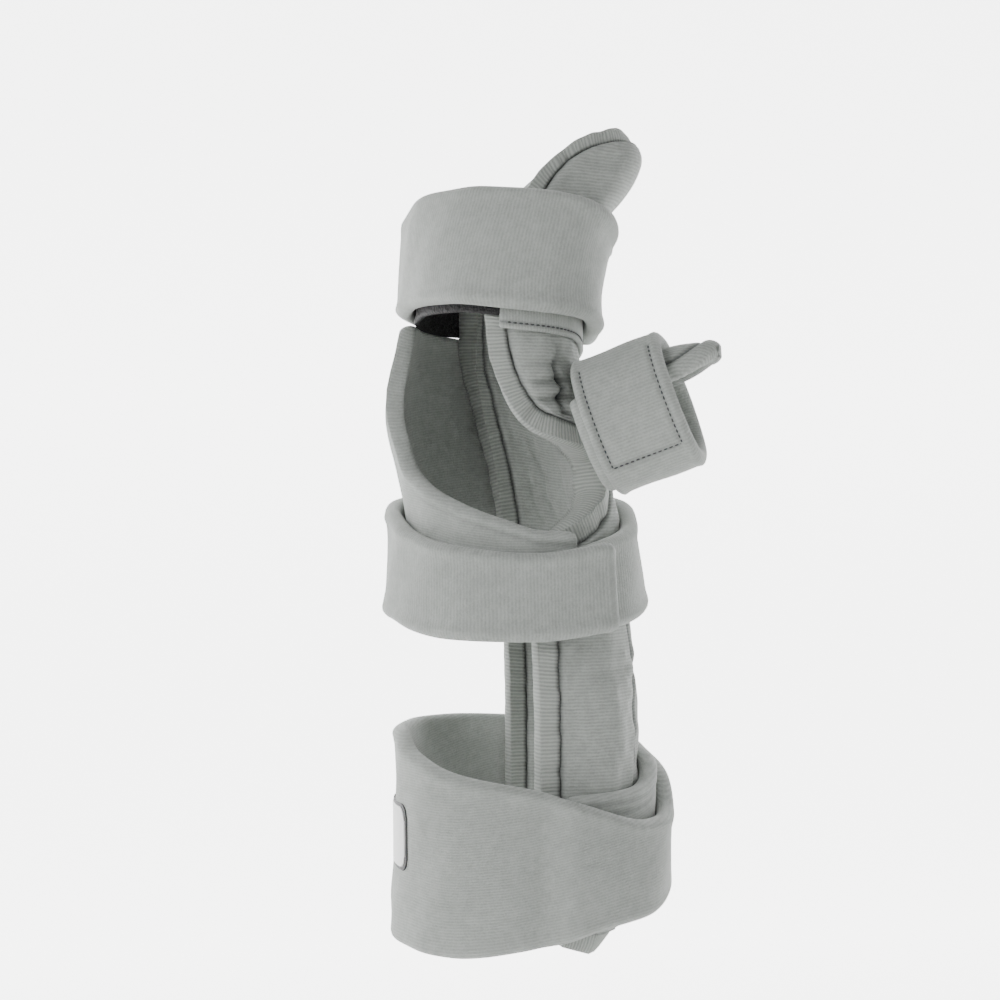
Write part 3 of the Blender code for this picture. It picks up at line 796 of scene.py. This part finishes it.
def strap(name, node_name, form, turns, low, high, lift, thick, material,
          closed=False, relief=None, edge=None, flat=None):
    """One band lofted along its turns: a flat section with round edges, plump hems and relief."""
    count = len(turns)
    edge = thick * 0.5 if edge is None else edge
    arc = np.linspace(0.0, math.pi / 2, 6)[:-1]
    flats = np.linspace(0.0, 1.0, 34)
    girth = form.girth(float(np.mean(low + high)) / 2)
    travelled = np.concatenate([[0.0], np.cumsum(np.abs(np.diff(turns)))]) * girth
    # Section places: how far from the low edge in edges and in width, and how high in the wall.
    places = [(1 - math.cos(a), 0.0, 0.5 + 0.5 * math.sin(a)) for a in arc]
    places += [(1.0, share, 1.0) for share in flats]
    places += [(1 + math.sin(a), 1.0, 0.5 + 0.5 * math.cos(a)) for a in arc[1:]]
    places += [(2.0, 1.0, 0.5)]
    places += [(1 + math.cos(a), 1.0, 0.5 - 0.5 * math.sin(a)) for a in arc[1:]]
    places += [(1.0, share, 0.0) for share in flats[::-1]]
    places += [(1 - math.cos(a), 0.0, 0.5 - 0.5 * math.sin(a)) for a in arc[:0:-1]]
    rows = [(k, 0.0) for k in range(count)]
    if not closed:
        # Angles round a free end, from its outermost ring inwards.
        rounding = (1.3, 0.95, 0.6, 0.3)
        rows = [(0, a) for a in rounding] + rows + [(count - 1, a) for a in rounding[::-1]]
    rings = np.zeros((len(rows), len(places), 3))
    maps = np.zeros((len(rows), len(places), 2))
    creases = np.zeros((len(rows), len(places)))
    direction = np.sign(turns[-1] - turns[0])
    for k, (station, beyond) in enumerate(rows):
        width = high[station] - low[station]
        shrink = math.cos(beyond)
        reach = edge * math.sin(beyond) * (-1 if station == 0 else 1) * direction
        turn = turns[station] + (reach / girth if beyond else 0.0)
        inset = edge * (1 - shrink)
        rounds = np.array([place[0] for place in places])
        shares = np.array([place[1] for place in places])
        depth = np.array([place[2] for place in places])
        across = inset + rounds * edge + shares * (width - 2 * edge - 2 * inset)
        across = np.where(rounds > 1, width - inset - (2 - rounds) * edge, across)
        height = low[station] + across
        from_edge = np.minimum(across, width - across)
        outside = depth >= 0.5
        up = lift[station] + thick * (0.5 + (depth - 0.5) * shrink)
        extra = np.zeros(len(places))
        dark = np.zeros(len(places))
        if relief is not None:
            extra, dark = relief(turn, height, from_edge, outside)
        rings[k] = form.at(np.full(len(places), turn), height, up + extra * shrink)
        maps[k, :, 0] = travelled[station]
        maps[k, :, 1] = across
        creases[k] = dark
    points, faces = loft(rings, closed)
    piece = new_mesh(name, points, faces, material, maps.reshape(-1, 2), creases.reshape(-1))
    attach(piece, "root")
    if node_name is not None:
        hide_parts(node_name)
    if flat is None:
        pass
    else:
        length = float(np.linalg.norm(np.diff(form.at(turns, (low + high) / 2, lift), axis=0), axis=1).sum())
    return piece


def hems(seed, plump=0.0006, waves=0.0004, dip_at=None, dip=0.0004):
    """Relief for a strap: plump rims, a slack that waves along it, and a line pulled in at its hem."""
    def relief(turn, height, from_edge, outside):
        rim = plump * bell(from_edge - 0.0028, 0.0022)
        slack = waves * (
            np.sin(turn * 31 + seed) * np.sin(height * 95 + seed * 2)
            + 0.6 * np.sin(turn * 77 + height * 140 + seed)
        )
        line = 0.0 if dip_at is None else dip * bell(from_edge - dip_at, 0.0009)
        extra = np.where(outside, rim + slack - line, slack * 0.5)
        # Painted shade: the pulled-in line is darkened through the crease attribute.
        dark = np.where(outside, 0.0 if dip_at is None else 0.22 * bell(from_edge - dip_at, 0.0008), 0.0)
        return extra, dark
    return relief


long_fleece = fleece("brushed grey fleece cut lengthwise", "#B2B6B2", "#999D99", rows="Y")
finger = curve(FINGER_ROUTE)
turns = np.linspace(0.0, 1.0, 181)[:-1]
middle, width = finger(turns).T
finger_low = middle * HAND_REACH - width * FINGER_STRAP_WIDTH / 2
finger_high = middle * HAND_REACH + width * FINGER_STRAP_WIDTH / 2
finger_lift = np.full(len(turns), UNDERLAY + 2.7 * GAP)
strap("finger_band", "finger_strap", body, turns, finger_low, finger_high, finger_lift, STRAP,
      band_fleece, closed=True, relief=hems(1.0))

UNDERLAY_START = 10 / 36
turns = np.linspace(-UNDERLAY_START, UNDERLAY_START, 91) * 0.974
middle, width = finger(turns % 1.0).T
half = width * FINGER_STRAP_WIDTH / 2
anchor_low = middle * HAND_REACH - half - FINGER_STRAP_WIDTH * 0.145
anchor_high = middle * HAND_REACH + half * 0.5


def anchor_relief(turn, height, from_edge, outside):
    line = bell(from_edge - 0.0020, 0.0006)
    # Painted shade darkens the pulled-in line of stitches.
    return np.where(outside, -0.0004 * line, 0.0), np.where(outside, 0.5 * line, 0.0)


strap("finger_band_anchor", "finger_strap_anchor", body, turns, anchor_low, anchor_high,
      np.full(len(turns), GAP), UNDERLAY, band_fleece, relief=anchor_relief,
      flat=["pan_cover"])

hook_black = bpy.data.materials.new("black hook tape")
hook_black.use_nodes = True
hook_tree = hook_black.node_tree
hook_shader = hook_tree.nodes["Principled BSDF"]
hook_shader.inputs["Roughness"].default_value = 0.7
hook_place = node(hook_tree, "ShaderNodeTexCoord")
# Hook tape is rows of nylon loops 0.9 mm apart, which catch a little light: each loop's middle is painted
# lighter, a painted highlight.
hooks = node(
    hook_tree, "ShaderNodeTexVoronoi",
    {"Vector": hook_place.outputs["Object"], "Scale": 1100.0}, feature="F1",
)
hook_colour = node(
    hook_tree, "ShaderNodeMix",
    {"Factor": hooks.outputs["Distance"], "A": linear("#2C2C2D"), "B": linear("#0B0B0C")},
    data_type="RGBA",
)
hook_tree.links.new(hook_colour.outputs["Result"], hook_shader.inputs["Base Color"])
hook_bump = node(
    hook_tree, "ShaderNodeBump",
    {"Height": hooks.outputs["Distance"], "Strength": 0.8, "Distance": 0.0006},
)
hook_tree.links.new(hook_bump.outputs["Normal"], hook_shader.inputs["Normal"])

turns = np.linspace(UNDERLAY_START, 1 - UNDERLAY_START, 81)
middle, width = finger(turns).T
half = width * FINGER_STRAP_WIDTH / 2
lining_low = middle * HAND_REACH - half - FINGER_STRAP_WIDTH * 0.05
lining_high = middle * HAND_REACH + half * 0.5
strap("hook_lining", "finger_strap_lining", body, turns, lining_low, lining_high, np.full(len(turns), GAP), UNDERLAY, hook_black,
      flat=["finger_band"])

turns = np.linspace(HAND_ROUTE[0][0], HAND_ROUTE[-1][0], 130)
hand_low, hand_high = curve(HAND_ROUTE)(turns).T * HAND_REACH
strap("hand_band", "hand_strap", body, turns, hand_low, hand_high, np.full(len(turns), GAP), STRAP,
      long_fleece, relief=hems(4.0, dip_at=0.0045, dip=0.0003))

turns = np.linspace(WRIST_ROUTE[0][0], WRIST_ROUTE[-1][0], 190)
middle, width, layers = curve(WRIST_ROUTE)(turns).T
half = width * WRIST_STRAP_WIDTH / 2
wrist_lift = GAP + layers * (STRAP + 1.6 * GAP)
middle = middle * WRIST_STRAP_WIDTH
strap("wrist_band", "wrist_strap", body, turns, middle - half, middle + half, wrist_lift, STRAP, band_fleece, relief=hems(2.2))



def forearm_relief(turn, height, from_edge, outside):
    """The end that lies underneath has a doubled hem: two lines of stitching pull it in."""
    extra, dark = hems(0.4)(turn, height, from_edge, outside)
    if turn > -0.10:
        lines = np.where(outside, bell(from_edge - 0.0034, 0.0007) + bell(from_edge - 0.0066, 0.0007), 0.0)
        extra = extra - 0.0006 * lines
        # Painted shade darkens both pulled-in lines.
        dark = dark + 0.35 * lines
    return extra, dark


turns = np.linspace(FOREARM_ROUTE[0][0], FOREARM_ROUTE[-1][0], 230)
middle, width, layers = curve(FOREARM_ROUTE)(turns).T
half = width * FOREARM_STRAP_WIDTH / 2
forearm_lift = GAP + layers * (STRAP + 1.6 * GAP)
middle = middle * FOREARM_REACH
strap("forearm_band", "forearm_strap", body, turns, middle - half, middle + half, forearm_lift, STRAP, long_fleece, relief=forearm_relief)

# The label: a moulded rubber plate at the back of the forearm strap, a white field in a black
# border, heat-sealed on. It is bare.
LABEL_WIDTH = 0.030
LABEL_HEIGHT = 0.023
LABEL_THICK = 0.0006
LABEL_RIM = 0.0012


def moulded(name, code, roughness):
    """Soft moulded rubber: nearly even, with a fine matt grain."""
    material = bpy.data.materials.new(name)
    material.use_nodes = True
    tree = material.node_tree
    shader = tree.nodes["Principled BSDF"]
    shader.inputs["Roughness"].default_value = roughness
    place = node(tree, "ShaderNodeTexCoord")
    grain = node(
        tree, "ShaderNodeTexNoise",
        {"Vector": place.outputs["Object"], "Scale": 2200.0, "Detail": 2.0},
    )
    colour = node(
        tree, "ShaderNodeMix",
        {"Factor": 0.06, "A": linear(code), "B": grain.outputs["Color"]},
        data_type="RGBA",
    )
    tree.links.new(colour.outputs["Result"], shader.inputs["Base Color"])
    bump = node(tree, "ShaderNodeBump", {"Height": grain.outputs["Fac"], "Strength": 0.2, "Distance": 0.0002})
    tree.links.new(bump.outputs["Normal"], shader.inputs["Normal"])
    return material


label_middle = float(curve(FOREARM_ROUTE)(np.array([-0.5]))[0, 0]) * FOREARM_REACH
label_girth = body.girth(label_middle)
corner = LABEL_HEIGHT * 0.18
for name, node_name, wide, tall, lift, material, slot in (
    ("label_rim", "label_border", LABEL_WIDTH, LABEL_HEIGHT, GAP + STRAP - 0.0002,
     moulded("black moulded rubber", "#17181A", 0.6), "black"),
    ("label_field", "label", LABEL_WIDTH - 2 * LABEL_RIM, LABEL_HEIGHT - 2 * LABEL_RIM,
     GAP + STRAP + 0.0001, moulded("white moulded rubber", "#E9EAE8", 0.5), "white"),
):
    along = np.linspace(-0.5, 0.5, 41) * wide
    from_end = wide / 2 - np.abs(along)
    cut = corner - np.sqrt(np.clip(corner ** 2 - np.clip(corner - from_end, 0, None) ** 2, 0, None))
    turns = 0.5 + along / label_girth
    strap(name, node_name, body, turns, label_middle - tall / 2 + cut, label_middle + tall / 2 - cut,
          np.full(len(turns), lift), LABEL_THICK, material, edge=LABEL_THICK * 0.5,
          flat=["forearm_band"])

# The thumb's trough and strap: a padded tongue sewn on at the web, with the same knit binding
# round its edge, and a short fleece band round it, sewn with dark thread on three sides.
THUMB_STRAP_WIDTH = 0.031
THUMB_PAD = 0.0075
THUMB_REACH = 0.033
THUMB_ROOT = 0.024
THUMB_RISE = 0.0170
THUMB_HALF = 0.0125
THUMB_SPREAD = 0.19
thumb_up = Vector((0.88, -0.36, 0.35)).normalized()
thumb_front = (Vector((0.0, 0.0, 1.0)) - thumb_up * thumb_up.z).normalized()
thumb = Form(
    origin=(0.555 * DEPTH, -1.08 * HALF_WIDTH, 0.388 * HAND_REACH),
    up=thumb_up,
    front=thumb_front,
    near=thumb_up.cross(thumb_front),
    rows=[
        (-THUMB_ROOT, -THUMB_RISE, 0.0, THUMB_RISE, THUMB_HALF),
        (0.0, -THUMB_RISE, 0.0, THUMB_RISE, THUMB_HALF),
        (THUMB_STRAP_WIDTH / 2, -THUMB_RISE, 0.0, THUMB_RISE * 0.98, THUMB_HALF),
        (THUMB_REACH, -THUMB_RISE * 0.8, 0.0, THUMB_RISE * 0.75, THUMB_HALF * 0.8),
    ],
    low=-THUMB_ROOT,
    high=THUMB_REACH,
)



def tongue_reach(at):
    """Half the tongue's width in turns: even up to the strap, then a round end."""
    tip = np.clip((at - 0.42 * THUMB_REACH) / (0.58 * THUMB_REACH), 0, 1)
    return THUMB_SPREAD * (1 - tip ** 2.3) ** (1 / 2.3)


ends = np.linspace(0.0, math.pi / 2, 60)
even = np.linspace(-0.012, 0.012, 25)[:-1]
stations = np.concatenate([even, 0.012 + (0.993 * THUMB_REACH - 0.012) * np.sin(ends)])
rim_at = np.concatenate([np.linspace(-0.02, 0.02, 60), 0.02 + (THUMB_REACH - 0.02) * np.sin(ends)])
rim_across = tongue_reach(rim_at) * np.array([thumb.girth(at) for at in rim_at])
rings = []
maps = []
creases = []
for at in stations:
    reach = float(tongue_reach(at))
    turn = np.linspace(-reach, reach, 61)
    across = turn * thumb.girth(at)
    distance = np.hypot(np.abs(across)[:, None] - rim_across[None, :], at - rim_at[None, :]).min(axis=1)
    rounding = -0.0030 * (1 - np.sqrt(np.clip(1 - (1 - np.clip(distance / 0.0036, 0, 1)) ** 2, 0, 1)))
    seam = bell(distance - 0.0052, 0.0008)
    piping = 0.0005 * (distance < 0.0052)
    sunk = 0.0050 * np.clip((-0.002 - at) / 0.010, 0, 1)
    full = np.full(len(turn), at)
    outer = thumb.at(turn, full, rounding + piping - 0.0010 * seam - sunk)
    inner = thumb.at(turn, full, -THUMB_PAD - rounding)
    rings.append(np.concatenate([outer, inner[::-1]]))
    # Painted shade darkens the seam inside the raised edge.
    creases.append(np.concatenate([0.8 * seam, 0.0 * seam]))
    flat_map = np.stack([full, across], axis=1)
    maps.append(np.concatenate([flat_map, flat_map[::-1]]))
points, faces = loft(np.array(rings), closed=False)
trough = new_mesh("thumb_tongue", points, faces, cover_fleece, np.concatenate(maps), np.concatenate(creases))
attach(trough, "root")
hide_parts("thumb_trough")

turns = np.linspace(0.0, 1.0, 141)[:-1]
SEWN = 0.0036             # from the strap's edges to its stitches
SEWN_TOP = 0.092          # where the sewn panel begins and ends, in turns of the thumb strap
SEWN_END = 0.385


def thumb_relief(turn, height, from_edge, outside):
    on_panel = (turn > SEWN_TOP) and (turn < SEWN_END)
    line = bell(from_edge - SEWN, 0.0008) if on_panel else 0.0 * from_edge
    across = bell((turn - SEWN_END) * thumb.girth(0.0), 0.0008) * (from_edge > SEWN)
    pulled = np.maximum(line, across)
    rim = 0.0005 * bell(from_edge - 0.0018, 0.0012)
    slack = 0.0002 * np.sin(turn * 40) * np.sin(height * 260)
    # Painted shade darkens the lines that the stitches pull in.
    return np.where(outside, rim + slack - 0.0006 * pulled, 0.0), np.where(outside, 0.3 * pulled, 0.0)


half = np.full(len(turns), THUMB_STRAP_WIDTH / 2)
strap("thumb_band", "thumb_strap", thumb, turns, -half, half, np.full(len(turns), GAP), STRAP,
      band_fleece, closed=True, relief=thumb_relief)

# Under the sewn panel lies the other end of the thumb's band, which shows along the web side.
turns = np.linspace(0.17, 0.47, 60)
under_low = np.full(len(turns), -THUMB_STRAP_WIDTH / 2 - 0.0027)
strap("thumb_band_under", None, thumb, turns, under_low, under_low + 0.012, np.full(len(turns), 0.0003),
      0.0036, band_fleece, relief=hems(3.0, waves=0.0001))

# The stitches: dark grey polyester thread, lock-stitched through the fleece, each stitch a short
# plump loop sunk in its dimple. They ride with what they are sewn through.
STITCH_LENGTH = 0.0013
STITCH_PITCH = 0.0019
THREAD = 0.00030
thread = moulded("dark grey polyester thread", "#2E3133", 0.8)


def stitches(name, path):
    """A row of stitches along a path of points, one small loop at each pitch."""
    lengths = np.concatenate([[0.0], np.cumsum(np.linalg.norm(np.diff(path, axis=0), axis=1))])
    rows = bmesh.new()
    for at in np.arange(STITCH_PITCH / 2, lengths[-1], STITCH_PITCH):
        middle = Vector([float(np.interp(at, lengths, path[:, axis])) for axis in range(3)])
        ahead = Vector([float(np.interp(at + 0.0008, lengths, path[:, axis])) for axis in range(3)])
        behind = Vector([float(np.interp(at - 0.0008, lengths, path[:, axis])) for axis in range(3)])
        turn = (ahead - behind).to_track_quat("X", "Z").to_matrix().to_4x4()
        size = Matrix.Diagonal((STITCH_LENGTH / 2, THREAD, THREAD, 1.0))
        bmesh.ops.create_uvsphere(
            rows, u_segments=6, v_segments=6, radius=1.0,
            matrix=Matrix.Translation(middle) @ turn @ size @ Matrix.Rotation(math.pi / 2, 4, "Y"),
        )
    mesh = bpy.data.meshes.new(name)
    rows.to_mesh(mesh)
    rows.free()
    mesh.shade_smooth()
    mesh.materials.append(thread)
    piece = bpy.data.objects.new(name, mesh)
    bpy.context.scene.collection.objects.link(piece)
    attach(piece, "root")
    return piece


on_top = GAP + STRAP - 0.0005
side = np.linspace(SEWN_TOP, SEWN_END, 80)
end = np.linspace(-THUMB_STRAP_WIDTH / 2 + SEWN, THUMB_STRAP_WIDTH / 2 - SEWN, 40)
lines = [
    thumb.at(side, np.full(80, -THUMB_STRAP_WIDTH / 2 + SEWN), np.full(80, on_top)),
    thumb.at(side, np.full(80, THUMB_STRAP_WIDTH / 2 - SEWN), np.full(80, on_top)),
    thumb.at(np.full(40, SEWN_END), end, np.full(40, on_top)),
]
for k, line in enumerate(lines):
    stitches(f"thumb_stitches_{k + 1}", line)

turns = np.linspace(-UNDERLAY_START, UNDERLAY_START, 120) * 0.95
middle, width = finger(turns % 1.0).T
sewn_at = middle * HAND_REACH - width * FINGER_STRAP_WIDTH / 2 - FINGER_STRAP_WIDTH * 0.145 + 0.0020
stitches("anchor_stitches", body.at(turns, sewn_at, np.full(120, GAP + UNDERLAY - 0.0003)))
